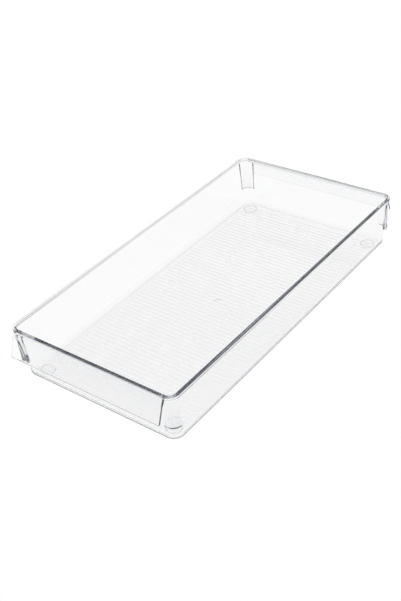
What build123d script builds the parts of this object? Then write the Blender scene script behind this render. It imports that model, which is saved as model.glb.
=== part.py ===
from build123d import *

import os
from math import atan2, radians, sin, tan

# A clear, shallow refrigerator tray: one moulding with a turned-down finger lip at each end, standing on four
# stick-on feet. Millimetres, +Z up. The origin lies on the shelf under the middle of the tray, the front faces -Y.

# Tray moulding
rim_width = 203.0  # over the rim's outer edges, left to right
rim_length = 392.0  # over the rim's outer edges, front to back, lips left out
rim_band = 4.0  # width of the rim, seen from above
rim_depth = 3.2  # height of the rim and of the upright wall inside it
rim_inner_radius = 6.6  # plan radius of the rim's inside corners
rim_rounding = 0.8  # rounding of the rim's top edges
tray_height = 58.0  # underside of the floor to the top of the rim
wall = 1.9
floor_thickness = 2.0
side_lean = 3.5  # how far a side wall leans in from the rim down to the underside
end_lean = 2.9  # the same for an end wall
base_corner_radius = 12.0  # plan radius of the underside's corners
base_rounding = 4.5  # rounding where the outside walls turn into the underside
floor_rounding = 4.6  # rounding where the inside walls turn into the floor

# Stacking shoulders: the corners stay upright outside while the walls lean in, down to a ledge
shoulder_width = 14.7  # from the wall's outside corner to the step, along the end wall
shoulder_length = 9.7  # the same along the side wall
shoulder_depth = 38.4  # from the top of the rim down to the ledge
shoulder_rounding = 1.0  # rounding of the ledge's outer edge

# Finger lips
lip_inset = 9.0  # from the rim's outer side edges to the lip's sides
lip_reach = 15.0  # from the rim's inside line out to the lip's lower edge
lip_drop = 25.4  # from the top of the rim down to the lip's lower edge
lip_flat = 5.3  # from the rim's inside line out to the corner where the lip turns down
lip_thickness = 1.8
lip_bend = 4.0  # outside radius of that turn
lip_corner_radius = 1.2  # rounding of the lip's two lower corners
lip_edge_rounding = 0.7  # rounding along the lip's free edge

# Floor ribs
rib_pitch = 5.5
rib_width = 3.0
rib_height = 0.15
rib_slope = 30.0  # angle of a rib's flanks to the floor
rib_margin = 5.0  # from the start of the floor's rounding to the ribbed field

# Moulding gate in the middle of the underside
gate_diameter = 9.0
gate_depth = 0.5
gate_nub_diameter = 2.4
gate_nub_height = 0.3

# Feet
foot_diameter = 16.0
foot_tread = 12.0  # diameter of the flat that meets the shelf
foot_height = 2.0
foot_seat_depth = 0.4  # how deep a foot sits in its recess
foot_clearance = 0.3  # gap round a foot in its recess
foot_inset = 16.0  # from the underside's edges to a foot's centre

# Levels
underside = foot_height - foot_seat_depth
floor_top = underside + floor_thickness
rim_top = underside + tray_height
rim_bottom = rim_top - rim_depth
ledge = rim_top - shoulder_depth

# Plan sizes that follow from the ones above
inner_width = rim_width - 2 * rim_band
inner_length = rim_length - 2 * rim_band
wall_top_width = inner_width + 2 * wall
wall_top_length = inner_length + 2 * wall
base_width = wall_top_width - 2 * side_lean
base_length = wall_top_length - 2 * end_lean
floor_lift = floor_thickness / (tray_height - rim_depth)  # floor's share of the leaning wall's height
floor_width = base_width + floor_lift * (wall_top_width - base_width) - 2 * wall
floor_length = base_length + floor_lift * (wall_top_length - base_length) - 2 * wall
foot_spacing_x = base_width - 2 * foot_inset
foot_spacing_y = base_length - 2 * foot_inset
joint_overlap = 0.5  # how far a rib or a lip runs into the body that it grows from

os.makedirs("parts", exist_ok=True)


# Hollow of the tray: leaning walls, a rounded floor edge and an upright band in the rim
with BuildPart() as hollow:
    with BuildSketch(Plane.XY.offset(floor_top)):
        RectangleRounded(floor_width, floor_length, base_corner_radius - wall)
    with BuildSketch(Plane.XY.offset(rim_bottom)):
        RectangleRounded(inner_width, inner_length, rim_inner_radius)
    loft(ruled=True)
    fillet(hollow.edges().group_by(Axis.Z)[0], floor_rounding)
    with BuildSketch(Plane.XY.offset(rim_bottom)):
        RectangleRounded(inner_width, inner_length, rim_inner_radius)
    extrude(amount=rim_depth)

# Corner shoulders: the wall's top outline run straight down to the ledge, kept only at the four corners
with BuildPart() as shoulders:
    with BuildSketch(Plane.XY.offset(ledge)):
        RectangleRounded(wall_top_width, wall_top_length, rim_inner_radius + wall)
    extrude(amount=rim_bottom - ledge)
    fillet(shoulders.edges().group_by(Axis.Z)[0], shoulder_rounding)
    with BuildSketch(Plane.XY.offset(ledge)):
        with GridLocations(wall_top_width - shoulder_width, wall_top_length - shoulder_length, 2, 2):
            Rectangle(shoulder_width, shoulder_length)
    extrude(amount=rim_bottom - ledge, mode=Mode.INTERSECT)

# Rim: a band round the top, rounded along its outer top edge
with BuildPart() as rim:
    with BuildSketch(Plane.XY.offset(rim_bottom)):
        RectangleRounded(rim_width, rim_length, rim_inner_radius + rim_band)
    extrude(amount=rim_depth)
    fillet(rim.edges().group_by(Axis.Z)[-1], rim_rounding)

# Front finger lip: a bent strip, drawn in section and run along its width
lip_width = rim_width - 2 * lip_inset
lip_run = lip_reach - lip_flat
lip_lean = atan2(lip_drop, lip_run)  # angle of the lip below the horizontal
lip_across = lip_thickness / sin(lip_lean)  # the strip's thickness, measured level
lip_root = wall - joint_overlap
knee = lip_reach - lip_across - (lip_drop - lip_thickness) * lip_run / lip_drop
lip_section = [
    (lip_root, 0.0),
    (lip_flat, 0.0),
    (lip_reach, lip_drop),
    (lip_reach - lip_across, lip_drop),
    (knee, lip_thickness),
    (lip_root, lip_thickness),
]
lip_outline = [(-inner_length / 2 - out, rim_top - down) for out, down in lip_section]
with BuildPart() as lip:
    with BuildSketch(Plane.YZ) as section:
        with BuildLine():
            Polyline(lip_outline, close=True)
        make_face()
        outer_turn = section.vertices().sort_by_distance(lip_outline[1])[0]
        inner_turn = section.vertices().sort_by_distance(lip_outline[4])[0]
        fillet(outer_turn, lip_bend)
        fillet(inner_turn, lip_bend - lip_thickness)
    extrude(amount=lip_width / 2, both=True)
    fillet(lip.edges().group_by(Axis.Z)[0].filter_by(Axis.Y), lip_corner_radius)
    fillet(lip.edges().group_by(Axis.Z)[0].filter_by(Axis.X), lip_edge_rounding)

# Ribs across the floor
rib_length = floor_width - 2 * (floor_rounding + rib_margin)
rib_field = floor_length - 2 * (floor_rounding + rib_margin)
rib_count = int((rib_field - rib_width) // rib_pitch) + 1
rib_root = rib_width + 2 * joint_overlap / tan(radians(rib_slope))  # width at the sunken foot of a rib
with BuildPart() as ribs:
    with BuildSketch(Plane.YZ):
        with Locations((0, floor_top - joint_overlap)):
            with GridLocations(rib_pitch, 0, rib_count, 1):
                Trapezoid(
                    rib_root,
                    rib_height + joint_overlap,
                    rib_slope,
                    align=(Align.CENTER, Align.MIN),
                )
    extrude(amount=rib_length / 2, both=True)

# Tray: outside of the walls, with the pieces above joined on and the hollow taken out
with BuildPart() as tray:
    with BuildSketch(Plane.XY.offset(underside)):
        RectangleRounded(base_width, base_length, base_corner_radius)
    with BuildSketch(Plane.XY.offset(rim_bottom)):
        RectangleRounded(wall_top_width, wall_top_length, rim_inner_radius + wall)
    loft(ruled=True)
    fillet(tray.edges().group_by(Axis.Z)[0], base_rounding)
    add(shoulders.part)
    add(rim.part)
    add(lip.part)
    add(lip.part.mirror(Plane.XZ))
    add(hollow.part, mode=Mode.SUBTRACT)
    fillet(tray.faces().sort_by(Axis.Z)[-1].inner_wires()[0].edges(), rim_rounding)
    add(ribs.part)
    with BuildSketch(Plane.XY.offset(underside)):
        with GridLocations(foot_spacing_x, foot_spacing_y, 2, 2):
            Circle(foot_diameter / 2 + foot_clearance)
    extrude(amount=foot_seat_depth, mode=Mode.SUBTRACT)
    with BuildSketch(Plane.XY.offset(underside)):
        Circle(gate_diameter / 2)
    extrude(amount=gate_depth, mode=Mode.SUBTRACT)
    with BuildSketch(Plane.XY.offset(underside + gate_depth)):
        Circle(gate_nub_diameter / 2)
    extrude(amount=-gate_nub_height)
tray.part.label = "tray"
export_step(tray.part, "parts/tray.step")


# Feet: clear soft buttons, each stuck into its recess under a corner
foot_places = {
    "foot_front_left": (-foot_spacing_x / 2, -foot_spacing_y / 2),
    "foot_front_right": (foot_spacing_x / 2, -foot_spacing_y / 2),
    "foot_rear_left": (-foot_spacing_x / 2, foot_spacing_y / 2),
    "foot_rear_right": (foot_spacing_x / 2, foot_spacing_y / 2),
}
for foot_name, (foot_x, foot_y) in foot_places.items():
    with BuildPart() as foot:
        with BuildSketch(Plane.XZ.offset(-foot_y)):
            with BuildLine():
                tread_edge = (foot_x + foot_tread / 2, 0)
                shoulder_edge = (foot_x + foot_diameter / 2, underside)
                Line((foot_x, 0), tread_edge)
                TangentArc(tread_edge, shoulder_edge, tangent=(1, 0))
                Polyline(shoulder_edge, (foot_x + foot_diameter / 2, foot_height), (foot_x, foot_height), (foot_x, 0))
            make_face()
        revolve(axis=Axis((foot_x, foot_y, 0), (0, 0, 1)))
    foot.part.label = foot_name
    export_step(foot.part, f"parts/{foot_name}.step")
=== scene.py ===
"""Looks of a clear refrigerator tray on four soft feet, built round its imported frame."""

from __future__ import annotations

import logging
import math
from dataclasses import dataclass
from enum import Enum
from typing import Any, Mapping, Sequence, Union

import bmesh
import bpy
from mathutils import Matrix, Vector

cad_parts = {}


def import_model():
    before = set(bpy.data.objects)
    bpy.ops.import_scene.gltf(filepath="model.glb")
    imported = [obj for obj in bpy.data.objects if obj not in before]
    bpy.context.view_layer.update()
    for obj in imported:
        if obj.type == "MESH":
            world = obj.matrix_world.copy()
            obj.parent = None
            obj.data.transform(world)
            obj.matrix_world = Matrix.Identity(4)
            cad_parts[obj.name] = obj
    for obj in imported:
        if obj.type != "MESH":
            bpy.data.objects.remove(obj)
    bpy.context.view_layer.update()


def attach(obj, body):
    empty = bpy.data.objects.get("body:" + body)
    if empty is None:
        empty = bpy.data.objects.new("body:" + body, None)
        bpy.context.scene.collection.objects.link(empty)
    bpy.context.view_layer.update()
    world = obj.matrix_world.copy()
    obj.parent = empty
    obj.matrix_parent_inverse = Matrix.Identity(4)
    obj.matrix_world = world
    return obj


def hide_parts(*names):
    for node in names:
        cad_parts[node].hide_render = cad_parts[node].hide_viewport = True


LOG = logging.getLogger("fridge_tray")
MM = 0.001  # lengths below are millimetres, Blender's are metres
BODY = "root"

Colour = tuple[float, float, float, float]
Pair = tuple[float, float]

WHITE: Colour = (1.0, 1.0, 1.0, 1.0)
BLACK: Colour = (0.0, 0.0, 0.0, 1.0)


class TrayEnd(Enum):
    """The tray's two short ends, by the direction that each faces along Y."""

    FRONT = -1
    REAR = 1


class Socket:
    """A node's output that takes part in Python arithmetic."""

    def __init__(self, net: "NodeNet", output: bpy.types.NodeSocket) -> None:
        """Keeps the output and the net that new nodes go into."""
        self.net = net
        self.output = output

    def _maths(self, operation: str, first: "Operand", second: "Operand") -> "Socket":
        """Adds one Math node.

        Args:
            operation: The Math node's operation.
            first: Its first value or link.
            second: Its second value or link.

        Returns:
            The node's result.
        """
        return self.net.add("ShaderNodeMath", {"operation": operation}, {0: first, 1: second})

    def __add__(self, other: "Operand") -> "Socket":
        """self + other."""
        return self._maths("ADD", self, other)

    def __radd__(self, other: "Operand") -> "Socket":
        """other + self."""
        return self._maths("ADD", other, self)

    def __sub__(self, other: "Operand") -> "Socket":
        """self - other."""
        return self._maths("SUBTRACT", self, other)

    def __rsub__(self, other: "Operand") -> "Socket":
        """other - self."""
        return self._maths("SUBTRACT", other, self)

    def __mul__(self, other: "Operand") -> "Socket":
        """self * other."""
        return self._maths("MULTIPLY", self, other)

    def __rmul__(self, other: "Operand") -> "Socket":
        """other * self."""
        return self._maths("MULTIPLY", other, self)

    def __neg__(self) -> "Socket":
        """-self."""
        return self._maths("MULTIPLY", self, -1.0)


Operand = Union[Socket, float]


class NodeNet:
    """A shader or geometry node tree that is written one node a line."""

    def __init__(self, tree: bpy.types.NodeTree) -> None:
        """Keeps the tree."""
        self.tree = tree

    def add(
        self,
        kind: str,
        settings: Mapping[str, Any] | None = None,
        sockets: Mapping[Union[str, int], Any] | None = None,
        result: Union[str, int] = 0,
    ) -> Socket:
        """Adds a node.

        Args:
            kind: The node's type.
            settings: The node's own settings, set before its sockets.
            sockets: A value, a link or a list of links for each named or numbered input.
            result: The name or number of the output that is handed back.

        Returns:
            That output.
        """
        node = self.tree.nodes.new(kind)
        for name, value in (settings or {}).items():
            setattr(node, name, value)
        for key, value in (sockets or {}).items():
            for one in value if isinstance(value, list) else [value]:
                self.feed(node.inputs[key], one)
        return Socket(self, node.outputs[result])

    def feed(self, entry: bpy.types.NodeSocket, value: Any) -> None:
        """Links an output to an input, or sets the input's value.

        Args:
            entry: The input.
            value: A Socket, or a plain value.
        """
        if isinstance(value, Socket):
            self.tree.links.new(value.output, entry)
        else:
            entry.default_value = value

    def vector(self, x: Operand, y: Operand, z: Operand) -> Socket:
        """Joins three values into a vector."""
        return self.add("ShaderNodeCombineXYZ", None, {"X": x, "Y": y, "Z": z})

    def noise(self, place: Socket, size: float, detail: float) -> Socket:
        """Adds soft noise.

        Args:
            place: The coordinates that it follows.
            size: Millimetres between its waves.
            detail: How many finer waves it has.

        Returns:
            Its value.
        """
        scale = 1 / (size * MM)
        return self.add("ShaderNodeTexNoise", None, {"Vector": place, "Scale": scale, "Detail": detail})

    def soft_step(self, value: Socket, start: float, end: float) -> Socket:
        """Adds a soft step.

        Args:
            value: What the step is taken on.
            start: The value where the step is 0.
            end: The value where it reaches 1.

        Returns:
            The step.
        """
        return self.add(
            "ShaderNodeMapRange",
            {"interpolation_type": "SMOOTHSTEP"},
            {"Value": value, "From Min": start, "From Max": end},
        )


class GeometryNet(NodeNet):
    """A Geometry Nodes tree with named inputs for its sizes."""

    def __init__(self, name: str) -> None:
        """Starts a tree that takes a mesh and gives one back."""
        super().__init__(bpy.data.node_groups.new(name, "GeometryNodeTree"))
        self._socket("Geometry", "INPUT", "NodeSocketGeometry")
        self._socket("Geometry", "OUTPUT", "NodeSocketGeometry")
        self.entry = self.tree.nodes.new("NodeGroupInput")
        self.values: dict[str, Any] = {}

    def _socket(self, name: str, side: str, kind: str) -> str:
        """Adds a socket to the tree's interface and returns its identifier."""
        return self.tree.interface.new_socket(name, in_out=side, socket_type=kind).identifier

    def mesh(self) -> Socket:
        """The mesh that the modifier's object brings in."""
        return Socket(self, self.entry.outputs["Geometry"])

    def size(self, name: str, value: float) -> Socket:
        """Adds a named number to the tree's inputs.

        Args:
            name: The input's name.
            value: What the modifier sets it to.

        Returns:
            The input, for use in the tree.
        """
        kind = "NodeSocketInt" if isinstance(value, int) else "NodeSocketFloat"
        self.values[self._socket(name, "INPUT", kind)] = value
        return Socket(self, self.entry.outputs[name])

    def real(self, mesh: Socket) -> Socket:
        """Makes instances real."""
        return self.add("GeometryNodeRealizeInstances", None, {"Geometry": mesh})

    def copies(self, piece: Socket, places: Socket) -> Socket:
        """Sets a copy of a piece on each point."""
        return self.add("GeometryNodeInstanceOnPoints", None, {"Points": places, "Instance": piece})

    def moved(self, mesh: Socket, by: Socket) -> Socket:
        """Moves a mesh by a vector."""
        return self.add("GeometryNodeTransform", None, {"Geometry": mesh, "Translation": by})

    def finish(self, mesh: Socket, material: bpy.types.Material) -> None:
        """Ends the tree: instances become real, and the finish is set.

        Args:
            mesh: The tree's result.
            material: The finish of every face.
        """
        real = self.real(mesh)
        dressed = self.add("GeometryNodeSetMaterial", None, {"Geometry": real, "Material": material})
        way_out = self.tree.nodes.new("NodeGroupOutput")
        self.feed(way_out.inputs["Geometry"], dressed)

    def apply(self, piece: bpy.types.Object) -> None:
        """Runs the tree on a piece and keeps the result as its plain mesh.

        Args:
            piece: The object whose mesh goes into the tree.
        """
        modifier = piece.modifiers.new(self.tree.name, "NODES")
        modifier.node_group = self.tree
        for identifier, value in self.values.items():
            modifier[identifier] = value
        graph = bpy.context.evaluated_depsgraph_get()
        made = bpy.data.meshes.new_from_object(piece.evaluated_get(graph))
        piece.modifiers.remove(modifier)
        made.name = piece.name
        piece.data = made


@dataclass(frozen=True)
class ClearPlastic:
    """Polished clear moulding: water-clear in thin walls, greyer along its edges, wavy and a bit rubbed."""

    name: str = "clear_plastic"
    refraction: float = 1.5
    soaked_colour: Colour = (0.775, 0.782, 0.808, 1.0)
    soaking: float = 60.0  # absorption per metre, before the colour
    polish: float = 0.012  # roughness of an untouched wall
    haze: float = 0.05  # roughness added where the tray is rubbed
    rubbed: Pair = (0.45, 0.75)  # values of the slow waves where the rubbing starts and is full
    matte: float = 0.25  # roughness added on the underside
    matte_from: float = 2.4  # mm, the height up to which the underside is fully matte
    matte_top: float = 3.2  # mm, the height where the matte ends
    ripple_size: float = 26.0  # mm between the slow waves of the moulding
    ripple_depth: float = 0.02  # mm
    ripple_detail: float = 1.5
    grain_size: float = 1.6  # mm between the fine marks of the polished mould
    grain_depth: float = 0.0006  # mm
    grain_detail: float = 3.0

    def material(self) -> bpy.types.Material:
        """Builds the finish.

        Returns:
            The finish.
        """
        made = bpy.data.materials.new(self.name)
        made.use_nodes = True
        net = NodeNet(made.node_tree)
        shader = made.node_tree.nodes["Principled BSDF"]
        place = net.add("ShaderNodeTexCoord", None, None, "Object")
        slow = net.noise(place, self.ripple_size, self.ripple_detail)
        fine = net.noise(place, self.grain_size, self.grain_detail)
        rubbed = net.soft_step(slow, *self.rubbed)
        level = net.add("ShaderNodeSeparateXYZ", None, {"Vector": place}, "Z")
        below = net.soft_step(level, self.matte_top * MM, self.matte_from * MM)
        height = slow * (self.ripple_depth * MM) + fine * (self.grain_depth * MM)
        bump = net.add("ShaderNodeBump", None, {"Height": height, "Distance": 1.0, "Strength": 1.0})
        shader.inputs["Base Color"].default_value = WHITE
        shader.inputs["Transmission Weight"].default_value = 1.0
        shader.inputs["IOR"].default_value = self.refraction
        net.feed(shader.inputs["Roughness"], self.polish + rubbed * fine * self.haze + below * self.matte)
        net.feed(shader.inputs["Normal"], bump)
        soaked = net.add(
            "ShaderNodeVolumeAbsorption",
            None,
            {"Color": self.soaked_colour, "Density": self.soaking},
        )
        net.feed(made.node_tree.nodes["Material Output"].inputs["Volume"], soaked)
        return made


@dataclass(frozen=True)
class SoftSilicone:
    """Clear soft silicone with a satin skin."""

    name: str = "clear_silicone"
    tint: Colour = (0.98, 0.985, 0.99, 1.0)
    refraction: float = 1.41
    satin: float = 0.12  # roughness of the skin
    dust: float = 0.12  # roughness added in patches
    patch_size: float = 3.0  # mm
    patch_detail: float = 3.0

    def material(self) -> bpy.types.Material:
        """Builds the finish.

        Returns:
            The finish.
        """
        made = bpy.data.materials.new(self.name)
        made.use_nodes = True
        net = NodeNet(made.node_tree)
        shader = made.node_tree.nodes["Principled BSDF"]
        place = net.add("ShaderNodeTexCoord", None, None, "Object")
        patches = net.noise(place, self.patch_size, self.patch_detail)
        shader.inputs["Base Color"].default_value = self.tint
        shader.inputs["Transmission Weight"].default_value = 1.0
        shader.inputs["IOR"].default_value = self.refraction
        net.feed(shader.inputs["Roughness"], self.satin + patches * self.dust)
        return made


@dataclass(frozen=True)
class Level:
    """One closed line round the tray: the wall's line, and the shoulder's line near each corner."""

    height: float
    wall: Pair  # half width and half length of the wall
    shoulder: Pair  # half width and half length at the corners
    corner: float  # plan radius of the corners
    step: Pair  # where the shoulder begins: x along an end, y along a side
    step_half: float  # half the run of that step


@dataclass
class TrayShell:
    """The clear moulding as one closed skin, inside and out, with its finger lips."""

    rim_width: float = 203.0  # over the rim, left to right
    rim_length: float = 392.0  # over the rim, front to back, lips left out
    rim_band: float = 4.0  # width of the rim, seen from above
    rim_depth: float = 3.2
    rim_inner_radius: float = 6.6
    rim_rounding: float = 0.8
    rim_root: float = 0.5  # easing under the rim, and along its lower edge at the ends
    rim_edge: float = 0.1  # easing along its lower edge at the sides
    tray_height: float = 58.0
    underside: float = 1.6  # height of the underside over the shelf
    wall: float = 1.9
    floor_thickness: float = 2.0
    side_lean: float = 3.5  # how far a side wall leans in from the rim down to the underside
    end_lean: float = 2.9
    base_corner_radius: float = 12.0
    base_rounding: float = 4.5
    floor_rounding: float = 4.6
    shoulder_width: float = 14.7  # from the wall's outside corner to the step, along the end wall
    shoulder_length: float = 9.7  # the same along the side wall
    shoulder_depth: float = 38.4  # from the top of the rim down to the ledge
    shoulder_rounding: float = 0.4
    step_half: float = 1.1  # half the run of the step beside a shoulder
    ledge_slope: float = 0.01  # how far a ledge falls towards its wall
    lip_inset: float = 9.0  # from the rim's outer side edges to the lip's sides
    lip_reach: float = 15.0  # from the rim's inside line out to the lip's lower edge
    lip_drop: float = 25.4
    lip_flat: float = 5.3  # from the rim's inside line to the corner where the lip turns down
    lip_thickness: float = 1.8
    lip_bend: float = 4.0  # outside radius of that turn
    lip_corner_radius: float = 1.2
    lip_edge_rounding: float = 0.7
    lip_side_ease: float = 0.35  # easing of the lip's side edges
    wall_parts: Sequence[float] = (0.0, 0.25, 0.5, 0.75)  # columns of a wall, from its middle to the step
    step_columns: int = 8
    lip_columns: int = 7  # columns of a corner that carry the lip's rounded end
    arc_columns: int = 10  # the corner's other columns
    base_facets: int = 10  # facets of the roundings at the base and the floor
    ledge_facets: int = 6
    rim_facets: int = 4
    bend_parts: Sequence[float] = (0.22, 0.36, 0.5, 0.64, 0.82, 1.0)  # rows over the lip's bend
    back_parts: Sequence[float] = (0.66, 0.33)  # rows up the lip's back
    tip_facets: int = 5  # facets of each rounding at the lip's tip

    def __post_init__(self) -> None:
        """Works out the levels and plan sizes that follow from the sizes above."""
        self.floor_top = self.underside + self.floor_thickness
        self.rim_top = self.underside + self.tray_height
        self.rim_bottom = self.rim_top - self.rim_depth
        self.ledge = self.rim_top - self.shoulder_depth
        self.inner = (self.rim_width / 2 - self.rim_band, self.rim_length / 2 - self.rim_band)
        self.wall_top = self.grown(self.inner, self.wall)
        self.lip_half = self.rim_width / 2 - self.lip_inset
        self.rim_outer_radius = self.rim_inner_radius + self.rim_band
        lip_start = self.rim_width / 2 - self.rim_outer_radius
        lip_angle = math.asin((self.lip_half - lip_start) / self.rim_outer_radius)
        lip_turns = [math.pi / 2 * i / self.lip_columns for i in range(self.lip_columns + 1)]
        lip_angles = [lip_angle * math.sin(turn) for turn in lip_turns]
        rest = math.pi / 2 - lip_angle
        arc_angles = [lip_angle + rest * (i + 1) / self.arc_columns for i in range(self.arc_columns)]
        self.corner_angles = lip_angles + arc_angles
        self.step_parts = [i / self.step_columns for i in range(self.step_columns + 1)]
        self.lip_column = len(self.wall_parts) + len(self.step_parts) + self.lip_columns
        lean = Vector((self.lip_reach - self.lip_flat, self.lip_drop))
        self.lip_angle = math.atan2(lean.y, lean.x)
        self.lip_along = lean.normalized()
        self.lip_out = Vector((self.lip_along.y, -self.lip_along.x))

    @staticmethod
    def grown(pair: Pair, by: float) -> Pair:
        """Half width and half length, moved outwards."""
        return pair[0] + by, pair[1] + by

    @staticmethod
    def quarter_turn(count: int, down: bool) -> list[float]:
        """Angles of a rounding.

        Args:
            count: The number of its facets.
            down: True from upright to flat, False from flat to upright.

        Returns:
            The angles in radians, 0 where the surface is upright.
        """
        angles = [math.pi / 2 * i / count for i in range(count + 1)]
        return angles if down else angles[::-1]

    def leaning(self, height: float) -> tuple[Pair, float]:
        """Finds the leaning wall's outside at a height.

        Args:
            height: The height.

        Returns:
            Its half width and half length, and the radius of its corners.
        """
        share = (height - self.underside) / (self.rim_bottom - self.underside)
        width = self.wall_top[0] - self.side_lean * (1 - share)
        length = self.wall_top[1] - self.end_lean * (1 - share)
        top_radius = self.rim_inner_radius + self.wall
        return (width, length), self.base_corner_radius + (top_radius - self.base_corner_radius) * share

    def wall_level(self, height: float, inset: float, inside: bool) -> Level:
        """A level where the wall goes all round, with no shoulder.

        Args:
            height: Its height.
            inset: How far inside the wall's face it lies.
            inside: True for the inner skin.

        Returns:
            The level.
        """
        sizes, radius = self.leaning(height)
        depth = inset + (self.wall if inside else 0.0)
        line = self.grown(sizes, -depth)
        corner = radius - depth
        begin = (line[0] - corner - 2 * self.step_half, line[1] - corner - 2 * self.step_half)
        return Level(height, line, line, corner, begin, self.step_half)

    def shoulder_level(self, height: float, inset: float) -> Level:
        """A level through the corner shoulders.

        Args:
            height: Its height.
            inset: How far inside the shoulder's face it lies.

        Returns:
            The level.
        """
        wall_line, _ = self.leaning(height)
        corner = self.rim_inner_radius + self.wall - inset
        step = (self.wall_top[0] - self.shoulder_width, self.wall_top[1] - self.shoulder_length)
        return Level(height, wall_line, self.grown(self.wall_top, -inset), corner, step, self.step_half)

    def rim_level(self, height: float, out: float, end_out: float | None = None) -> Level:
        """A level of the rim.

        Args:
            height: Its height.
            out: How far outside the rim's inner line it lies.
            end_out: The same at the tray's ends, where it differs.

        Returns:
            The level.
        """
        end_out = out if end_out is None else end_out
        line = (self.inner[0] + out, self.inner[1] + end_out)
        step = (self.wall_top[0] - self.shoulder_width, self.wall_top[1] - self.shoulder_length)
        return Level(height, line, line, self.rim_inner_radius + end_out, step, self.step_half)

    def outer_levels(self) -> list[Level]:
        """Lists the levels of the outside.

        Returns:
            The levels, from the underside up to the foot of the rim.
        """
        levels = []
        for turn in self.quarter_turn(self.base_facets, down=False):
            rise = self.base_rounding * (1 - math.sin(turn))
            inset = self.base_rounding * (1 - math.cos(turn))
            levels.append(self.wall_level(self.underside + rise, inset, False))
        levels.append(self.wall_level(self.ledge - self.ledge_slope, 0.0, False))
        for turn in self.quarter_turn(self.ledge_facets, down=False):
            rise = self.shoulder_rounding * (1 - math.sin(turn))
            inset = self.shoulder_rounding * (1 - math.cos(turn))
            levels.append(self.shoulder_level(self.ledge + rise, inset))
        levels.append(self.shoulder_level(self.rim_bottom - self.rim_root, 0.0))
        levels.append(self.rim_level(self.rim_bottom, self.wall + self.rim_root))
        return levels

    def rim_levels(self) -> list[Level]:
        """Lists the levels of the rim's outer side, the first and last of which carry the lips.

        Returns:
            The levels, from the rim's lower edge to its flat top.
        """
        end_edge = self.rim_band - self.rim_root
        levels = [self.rim_level(self.rim_bottom, self.rim_band - self.rim_edge, end_edge)]
        levels.append(self.rim_level(self.rim_bottom + self.rim_edge, self.rim_band))
        for turn in self.quarter_turn(self.rim_facets, down=True):
            rise = self.rim_rounding * math.sin(turn)
            out = self.rim_band - self.rim_rounding * (1 - math.cos(turn))
            levels.append(self.rim_level(self.rim_top - self.rim_rounding + rise, out))
        return levels

    def inner_levels(self) -> list[Level]:
        """Lists the levels of the inside.

        Returns:
            The levels, from the rim's flat top down to the floor.
        """
        levels = []
        for turn in self.quarter_turn(self.rim_facets, down=False):
            rise = self.rim_rounding * math.sin(turn)
            out = self.rim_rounding * (1 - math.cos(turn))
            levels.append(self.rim_level(self.rim_top - self.rim_rounding + rise, out))
        levels.append(self.wall_level(self.rim_bottom, 0.0, True))
        for turn in self.quarter_turn(self.base_facets, down=True):
            rise = self.floor_rounding * (1 - math.sin(turn))
            inset = self.floor_rounding * (1 - math.cos(turn))
            levels.append(self.wall_level(self.floor_top + rise, inset, True))
        return levels

    def quarter(self, level: Level) -> list[Vector]:
        """Walks a level from the middle of the front to the middle of the right side.

        Args:
            level: The level.

        Returns:
            The points of its columns.
        """
        (wall_x, wall_y), (face_x, face_y) = level.wall, level.shoulder
        begin_x, begin_y = (place - level.step_half for place in level.step)
        run = 2 * level.step_half
        eased = [part * part * (3 - 2 * part) for part in self.step_parts]
        points = [(begin_x * part, wall_y) for part in self.wall_parts]
        for part, rise in zip(self.step_parts, eased):
            points.append((begin_x + run * part, wall_y + (face_y - wall_y) * rise))
        for angle in self.corner_angles:
            across = face_x - level.corner * (1 - math.sin(angle))
            points.append((across, face_y - level.corner * (1 - math.cos(angle))))
        for part, rise in reversed(list(zip(self.step_parts, eased))):
            points.append((wall_x + (face_x - wall_x) * rise, begin_y + run * part))
        points += [(wall_x, begin_y * part) for part in reversed(self.wall_parts)]
        return [Vector((x, -y, level.height)) for x, y in points]

    def ring(self, level: Level) -> list[Vector]:
        """Walks a level all the way round.

        Args:
            level: The level.

        Returns:
            The points of its columns, anticlockwise from the middle of the front.
        """
        first = self.quarter(level)
        points = []
        for mirror_x, mirror_y in ((1, 1), (1, -1), (-1, -1), (-1, 1)):
            part = [Vector((p.x * mirror_x, p.y * mirror_y, p.z)) for p in first]
            points += (part if mirror_x == mirror_y else part[::-1])[:-1]
        return points

    @staticmethod
    def rounded(before: Vector, corner: Vector, after: Vector, radius: float, facets: int) -> list[Pair]:
        """Rounds one corner of an outline.

        Args:
            before: A point on the side that leads to the corner.
            corner: The corner.
            after: A point on the side that leads away from it.
            radius: The rounding's radius.
            facets: The number of its facets.

        Returns:
            The points of the rounding.
        """
        back, ahead = (before - corner).normalized(), (after - corner).normalized()
        half = back.angle(ahead) / 2
        middle = corner + (back + ahead).normalized() * (radius / math.sin(half))
        start = corner + back * (radius / math.tan(half)) - middle
        turn = math.copysign(math.pi - 2 * half, back.cross(ahead))
        points = []
        for step in range(facets + 1):
            angle = -turn * step / facets
            x = start.x * math.cos(angle) - start.y * math.sin(angle)
            y = start.x * math.sin(angle) + start.y * math.cos(angle)
            points.append((middle.x + x, middle.y + y))
        return points

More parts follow.
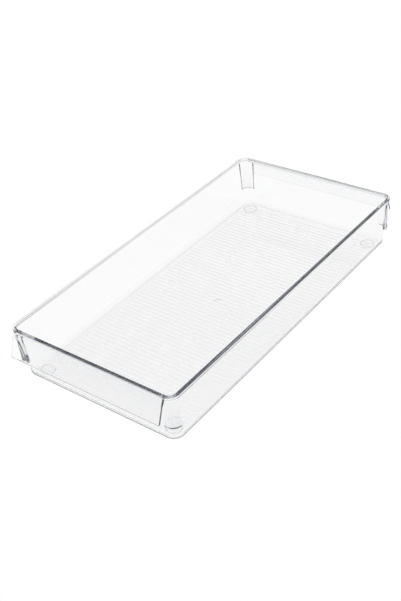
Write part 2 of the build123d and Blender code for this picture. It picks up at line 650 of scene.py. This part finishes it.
    def lip_section(self, cut: float, ease: float) -> list[Pair]:
        """The lip's outline in section, from the rim's top over the tip and back up to the rim's foot.

        Args:
            cut: How much shorter the lip is here, for its rounded ends.
            ease: How far both faces draw in, for its side edges.

        Returns:
            Points as (out from the rim's inner line, down from the rim's top).
        """
        bend_start = self.lip_flat - self.lip_bend * math.tan(self.lip_angle / 2)
        reach = self.lip_bend - ease
        section = []
        for share in self.bend_parts:
            turn = self.lip_angle * share
            section.append((bend_start + reach * math.sin(turn), self.lip_bend - reach * math.cos(turn)))
        across = self.lip_thickness / self.lip_out.x
        slope = self.lip_along.x / self.lip_along.y
        tip = Vector((self.lip_reach, self.lip_drop)) - self.lip_along * cut
        outer = tip - Vector((ease / self.lip_out.x, 0.0))
        inner = tip - Vector((across - ease / self.lip_out.x, 0.0))
        radius = self.lip_edge_rounding - ease
        section += self.rounded(outer - self.lip_along, outer, inner, radius, self.tip_facets)
        section += self.rounded(outer, inner, inner - self.lip_along, radius, self.tip_facets)
        for share in self.back_parts:
            down = self.rim_depth + (self.lip_drop - self.rim_depth) * share
            out = self.lip_reach - across - slope * (self.lip_drop - down) + ease
            section.append((out, down))
        return section

    def add_lip(
        self,
        mesh: bmesh.types.BMesh,
        top: list,
        foot: list,
        face: list[list],
        end: TrayEnd,
    ) -> set[int]:
        """Joins one finger lip to the rim.

        Args:
            mesh: The mesh that is being built.
            top: The vertices of the level where the rim's flat top ends.
            foot: The vertices of the rim's lower edge.
            face: The vertices of the levels between those two, from low to high.
            end: Which end the lip is on.

        Returns:
            The columns whose rim face the lip takes the place of.
        """
        count = len(top)
        middle = 0 if end is TrayEnd.FRONT else count // 2
        columns = [(middle + offset) % count for offset in range(-self.lip_column, self.lip_column + 1)]
        strips = []
        for column in columns:
            x = face[-1][column].co.x / MM
            near_side = max(0.0, self.lip_corner_radius - (self.lip_half - abs(x)))
            cut = self.lip_corner_radius - math.sqrt(max(0.0, self.lip_corner_radius**2 - near_side**2))
            ease = self.lip_side_ease if column in (columns[0], columns[-1]) else 0.0
            strip = [top[column]]
            for out, down in self.lip_section(cut, ease):
                place = Vector((x, end.value * (self.inner[1] + out), self.rim_top - down))
                strip.append(mesh.verts.new(place * MM))
            strips.append(strip + [foot[column]])
        for left, right in zip(strips, strips[1:]):
            for a, b, c, d in zip(left, right, right[1:], left[1:]):
                mesh.faces.new((a, b, c, d))
        for strip, column in ((strips[0], columns[0]), (strips[-1], columns[-1])):
            mesh.faces.new(strip + [level[column] for level in face])
        return set(columns[:-1])

    def mesh(self) -> bpy.types.Mesh:
        """Builds the closed skin, without ribs.

        Returns:
            Its mesh.
        """
        built = bmesh.new()
        outer, rim, inner = self.outer_levels(), self.rim_levels(), self.inner_levels()
        rings = [[built.verts.new(p * MM) for p in self.ring(level)] for level in outer + rim + inner]
        foot, top = len(outer), len(outer) + len(rim) - 1
        skipped: set[int] = set()
        for end in TrayEnd:
            skipped |= self.add_lip(built, rings[top], rings[foot], rings[foot + 1 : top], end)
        count = len(rings[0])
        for level, (low, high) in enumerate(zip(rings, rings[1:])):
            for column in range(count):
                if foot <= level < top and column in skipped:
                    continue
                after = (column + 1) % count
                built.faces.new((low[column], low[after], high[after], high[column]))
        built.faces.new(rings[0])
        built.faces.new(rings[-1])
        loose = [vert for vert in built.verts if not vert.link_faces]
        bmesh.ops.delete(built, geom=loose, context="VERTS")
        bmesh.ops.recalc_face_normals(built, faces=built.faces)
        made = bpy.data.meshes.new("tray_shell")
        built.to_mesh(made)
        built.free()
        return made


@dataclass
class FloorDetail:
    """What the mould leaves on the floor: ribs across it, seats for the feet and the gate's mark."""

    shell: TrayShell
    rib_pitch: float = 5.5
    rib_width: float = 3.0
    rib_rise: float = 0.15
    rib_sink: float = 0.3  # how far a rib's body runs down into the floor
    rib_margin: float = 5.0  # from the start of the floor's rounding to the ribs
    rib_points: int = 13  # points of a rib's round crown
    seat_diameter: float = 16.6
    seat_depth: float = 0.4
    foot_inset: float = 16.0  # from the underside's edges to a foot's middle
    gate_diameter: float = 9.0
    gate_depth: float = 0.5
    cutter_sides: int = 64

    def foot_spacing(self) -> Pair:
        """Distances between the feet's middles, left to right and front to back."""
        (width, length), _ = self.shell.leaning(self.shell.underside)
        return 2 * (width - self.foot_inset), 2 * (length - self.foot_inset)

    def foot_places(self, net: GeometryNet) -> Socket:
        """Adds the four points of the feet's middles, level with the shelf, to a tree.

        Args:
            net: The tree.

        Returns:
            The points.
        """
        across, along = self.foot_spacing()
        return net.add(
            "GeometryNodeMeshGrid",
            None,
            {
                "Size X": net.size("Foot spacing across", across * MM),
                "Size Y": net.size("Foot spacing along", along * MM),
                "Vertices X": 2,
                "Vertices Y": 2,
            },
            "Mesh",
        )

    def net(self, material: bpy.types.Material) -> GeometryNet:
        """Builds the tree that adds the ribs and cuts the seats.

        Args:
            material: The tray's finish.

        Returns:
            The tree.
        """
        net = GeometryNet("floor_detail")
        (width, length), _ = self.shell.leaning(self.shell.floor_top)
        margin = self.shell.wall + self.shell.floor_rounding + self.rib_margin
        field_length = 2 * (length - margin)
        pitch = net.size("Rib pitch", self.rib_pitch * MM)
        count = net.size("Rib count", int((field_length - self.rib_width) // self.rib_pitch) + 1)
        half_width = net.size("Rib length", 2 * (width - margin) * MM) * 0.5
        rise = net.size("Rib rise", self.rib_rise * MM)
        sink = net.size("Rib sink", self.rib_sink * MM)
        floor = net.size("Floor level", self.shell.floor_top * MM)
        underside = net.size("Underside level", self.shell.underside * MM)
        radius = (self.rib_width**2 / 4 + self.rib_rise**2) / (2 * self.rib_rise)
        depth = self.rib_rise + self.rib_sink
        chord = net.size("Rib chord", math.sqrt(2 * radius * depth - depth**2) * MM)

        section = net.add(
            "GeometryNodeCurveArc",
            {"mode": "POINTS"},
            {
                "Resolution": self.rib_points,
                "Start": net.vector(-chord, sink, 0.0),
                "Middle": net.vector(0.0, -rise, 0.0),
                "End": net.vector(chord, sink, 0.0),
            },
        )
        section = net.add("GeometryNodeSetSplineCyclic", None, {"Geometry": section, "Cyclic": True})
        run = net.add(
            "GeometryNodeCurvePrimitiveLine",
            None,
            {"Start": net.vector(-half_width, 0.0, 0.0), "End": net.vector(half_width, 0.0, 0.0)},
        )
        rib = net.add(
            "GeometryNodeCurveToMesh",
            None,
            {"Curve": run, "Profile Curve": section, "Fill Caps": True},
        )
        first = -0.5 * pitch * (count - 1.0)
        row = net.add(
            "GeometryNodeMeshLine",
            {"mode": "OFFSET"},
            {
                "Count": count,
                "Start Location": net.vector(0.0, first, floor),
                "Offset": net.vector(0.0, pitch, 0.0),
            },
        )
        ribs = net.real(net.copies(rib, row))
        ribbed = net.add(
            "GeometryNodeMeshBoolean",
            {"operation": "UNION", "solver": "EXACT"},
            {"Mesh 2": [net.mesh(), ribs]},
        )

        level = net.vector(0.0, 0.0, underside)
        seat_diameter = net.size("Seat diameter", self.seat_diameter * MM)
        seat = self.cutter(net, seat_diameter, net.size("Seat depth", self.seat_depth * MM))
        seats = net.real(net.copies(seat, net.moved(self.foot_places(net), level)))
        gate_diameter = net.size("Gate diameter", self.gate_diameter * MM)
        gate = self.cutter(net, gate_diameter, net.size("Gate depth", self.gate_depth * MM))
        cut = net.add(
            "GeometryNodeMeshBoolean",
            {"operation": "DIFFERENCE", "solver": "EXACT"},
            {"Mesh 1": ribbed, "Mesh 2": [seats, net.moved(gate, level)]},
        )
        net.finish(cut, material)
        return net

    def cutter(self, net: GeometryNet, diameter: Socket, depth: Socket) -> Socket:
        """Adds a round cutter whose middle lies on the underside.

        Args:
            net: The tree.
            diameter: Its diameter.
            depth: How deep it cuts.

        Returns:
            The cutter's mesh.
        """
        return net.add(
            "GeometryNodeMeshCylinder",
            None,
            {"Vertices": self.cutter_sides, "Radius": diameter * 0.5, "Depth": depth * 2.0},
            "Mesh",
        )


@dataclass
class Tray:
    """The whole clear tray: skin, floor detail and finish."""

    shell: TrayShell
    detail: FloorDetail
    finish: ClearPlastic
    sharp_angle: float = 40.0  # degrees, past which an edge stays crisp

    def build(self) -> bpy.types.Object:
        """Builds and dresses the tray, and sets it in place of its CAD node.

        Returns:
            The tray.
        """
        piece = bpy.data.objects.new("clear_tray", self.shell.mesh())
        bpy.context.scene.collection.objects.link(piece)
        self.detail.net(self.finish.material()).apply(piece)
        piece.data.shade_smooth()
        piece.data.set_sharp_from_angle(angle=math.radians(self.sharp_angle))
        flat = piece.modifiers.new("flat_walls", "WEIGHTED_NORMAL")
        flat.keep_sharp = True
        piece.visible_shadow = False
        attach(piece, BODY)
        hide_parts("tray")
        return piece


@dataclass
class StuckOnFeet:
    """Four soft buttons, each stuck into its seat under a corner."""

    detail: FloorDetail
    finish: SoftSilicone
    diameter: float = 16.0
    tread: float = 12.0  # diameter of the flat that meets the shelf
    height: float = 1.92
    edge: float = 0.35  # rounding of the upper edge
    bulge: float = 1.5  # height of the rounded lower side
    flat_part: float = 0.6  # share of a flat's radius where it has an inner ring
    bulge_facets: int = 8
    edge_facets: int = 4
    turns: int = 48  # facets round a foot
    sharp_angle: float = 60.0  # degrees, past which an edge stays crisp

    def profile(self) -> list[Pair]:
        """Draws half of a foot's section.

        Returns:
            Points as (radius, height), from the tread's middle to the top's.
        """
        outer, inner = self.diameter / 2, self.tread / 2
        points = [(0.0, 0.0), (inner * self.flat_part, 0.0)]
        for step in range(self.bulge_facets + 1):
            turn = math.pi / 2 * step / self.bulge_facets
            radius = inner + (outer - inner) * math.sin(turn)
            points.append((radius, self.bulge * (1 - math.cos(turn))))
        for step in range(self.edge_facets + 1):
            turn = math.pi / 2 * step / self.edge_facets
            radius = outer - self.edge * (1 - math.cos(turn))
            points.append((radius, self.height - self.edge * (1 - math.sin(turn))))
        return points + [(outer * self.flat_part, self.height), (0.0, self.height)]

    def one_foot(self) -> bpy.types.Mesh:
        """Turns the section into one foot, standing on the origin.

        Returns:
            Its mesh.
        """
        built = bmesh.new()
        profile = self.profile()
        middle, rounds = (profile[0], profile[-1]), profile[1:-1]
        low, high = (built.verts.new((radius * MM, 0.0, level * MM)) for radius, level in middle)
        angles = [2 * math.pi * step / self.turns for step in range(self.turns)]
        rings = []
        for radius, level in rounds:
            places = [(radius * math.cos(a) * MM, radius * math.sin(a) * MM, level * MM) for a in angles]
            rings.append([built.verts.new(place) for place in places])
        for step in range(self.turns):
            after = (step + 1) % self.turns
            built.faces.new((low, rings[0][after], rings[0][step]))
            for under, over in zip(rings, rings[1:]):
                built.faces.new((under[step], under[after], over[after], over[step]))
            built.faces.new((high, rings[-1][step], rings[-1][after]))
        bmesh.ops.recalc_face_normals(built, faces=built.faces)
        made = bpy.data.meshes.new("foot")
        built.to_mesh(made)
        built.free()
        return made

    def net(self) -> GeometryNet:
        """Builds the tree that sets a foot under each corner.

        Returns:
            The tree.
        """
        net = GeometryNet("four_feet")
        feet = net.copies(net.mesh(), self.detail.foot_places(net))
        net.finish(feet, self.finish.material())
        return net

    def build(self) -> bpy.types.Object:
        """Builds and dresses the feet, and sets them in place of their CAD nodes.

        Returns:
            The feet.
        """
        piece = bpy.data.objects.new("soft_feet", self.one_foot())
        bpy.context.scene.collection.objects.link(piece)
        self.net().apply(piece)
        piece.data.shade_smooth()
        piece.data.set_sharp_from_angle(angle=math.radians(self.sharp_angle))
        piece.visible_shadow = False
        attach(piece, BODY)
        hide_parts("foot_front_left", "foot_front_right", "foot_rear_left", "foot_rear_right")
        return piece


@dataclass
class Studio:
    """White table, soft light all round and the camera. Lengths in metres."""

    table_half: float = 1.6
    table_level: float = -0.0005
    table_glow: float = 1.0
    tent_glow: float = 1.0
    tent_tones: Sequence[Pair] = (  # sine of the elevation, grey
        (0.0, 0.8),
        (0.15, 0.8),
        (0.3, 1.0),
        (0.54, 1.0),
        (0.61, 0.08),
        (0.78, 0.08),
        (0.9, 1.0),
    )
    camera_place: tuple[float, float, float] = (0.5358, -0.6395, 0.6044)
    camera_right: tuple[float, float, float] = (0.792, 0.603, -0.095)
    camera_up: tuple[float, float, float] = (-0.2926, 0.5121, 0.8076)
    camera_ahead: tuple[float, float, float] = (-0.5359, 0.6116, -0.582)
    sensor: float = 36.0  # mm, along the picture's height
    lens: float = 57.93  # mm
    near_clip: float = 0.01
    bounces: int = 24

    def table(self) -> bpy.types.Object:
        """Builds the table.

        Returns:
            The table.
        """
        half, level = self.table_half, self.table_level
        corners = [(-half, -half, level), (half, -half, level), (half, half, level), (-half, half, level)]
        sheet = bpy.data.meshes.new("white_table")
        sheet.from_pydata(corners, [], [(0, 1, 2, 3)])
        white = bpy.data.materials.new("white_table")
        white.use_nodes = True
        shader = white.node_tree.nodes["Principled BSDF"]
        shader.inputs["Base Color"].default_value = BLACK
        shader.inputs["Specular IOR Level"].default_value = 0.0
        shader.inputs["Emission Color"].default_value = WHITE
        shader.inputs["Emission Strength"].default_value = self.table_glow
        sheet.materials.append(white)
        piece = bpy.data.objects.new("white_table", sheet)
        bpy.context.scene.collection.objects.link(piece)
        return piece

    def tent(self) -> None:
        """Sets the light that comes from all round."""
        world = bpy.data.worlds.new("white_tent")
        world.use_nodes = True
        sky = world.node_tree.nodes["Background"]
        net = NodeNet(world.node_tree)
        direction = net.add("ShaderNodeTexCoord", None, None, "Generated")
        rise = net.add("ShaderNodeSeparateXYZ", None, {"Vector": direction}, "Z")
        tone = net.add("ShaderNodeValToRGB", None, {"Fac": rise})
        ramp = tone.output.node.color_ramp
        ramp.interpolation = "EASE"
        while len(ramp.elements) < len(self.tent_tones):
            ramp.elements.new(1.0)
        for stop, (place, grey) in zip(ramp.elements, self.tent_tones):
            stop.position = place
            stop.color = (grey, grey, grey, 1.0)
        net.feed(sky.inputs["Color"], tone)
        sky.inputs["Strength"].default_value = self.tent_glow
        bpy.context.scene.world = world

    def camera(self) -> bpy.types.Object:
        """Sets up the camera.

        Returns:
            The camera.
        """
        data = bpy.data.cameras.new("camera")
        data.sensor_fit = "VERTICAL"
        data.sensor_height = self.sensor
        data.lens = self.lens
        data.clip_start = self.near_clip
        made = bpy.data.objects.new("camera", data)
        bpy.context.scene.collection.objects.link(made)
        axes = (Vector(self.camera_right), Vector(self.camera_up), -Vector(self.camera_ahead))
        made.matrix_world = Matrix.Translation(self.camera_place) @ Matrix(axes).transposed().to_4x4()
        bpy.context.scene.camera = made
        return made

    def build(self) -> None:
        """Builds everything round the tray."""
        self.table()
        self.tent()
        self.camera()
        scene = bpy.context.scene
        scene.view_settings.view_transform = "Standard"
        scene.cycles.max_bounces = self.bounces
        scene.cycles.glossy_bounces = self.bounces
        scene.cycles.transmission_bounces = self.bounces
        scene.cycles.transparent_max_bounces = self.bounces


def main() -> None:
    """Builds the tray, its feet and the studio, and logs each piece's face count."""
    logging.basicConfig(level=logging.INFO, format="%(name)s: %(message)s")
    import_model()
    shell = TrayShell()
    detail = FloorDetail(shell)
    tray = Tray(shell, detail, ClearPlastic())
    feet = StuckOnFeet(detail, SoftSilicone())
    for piece in (tray.build(), feet.build()):
        LOG.info("%s: %d faces", piece.name, len(piece.data.polygons))
    Studio().build()


if __name__ == "__main__":
    main()
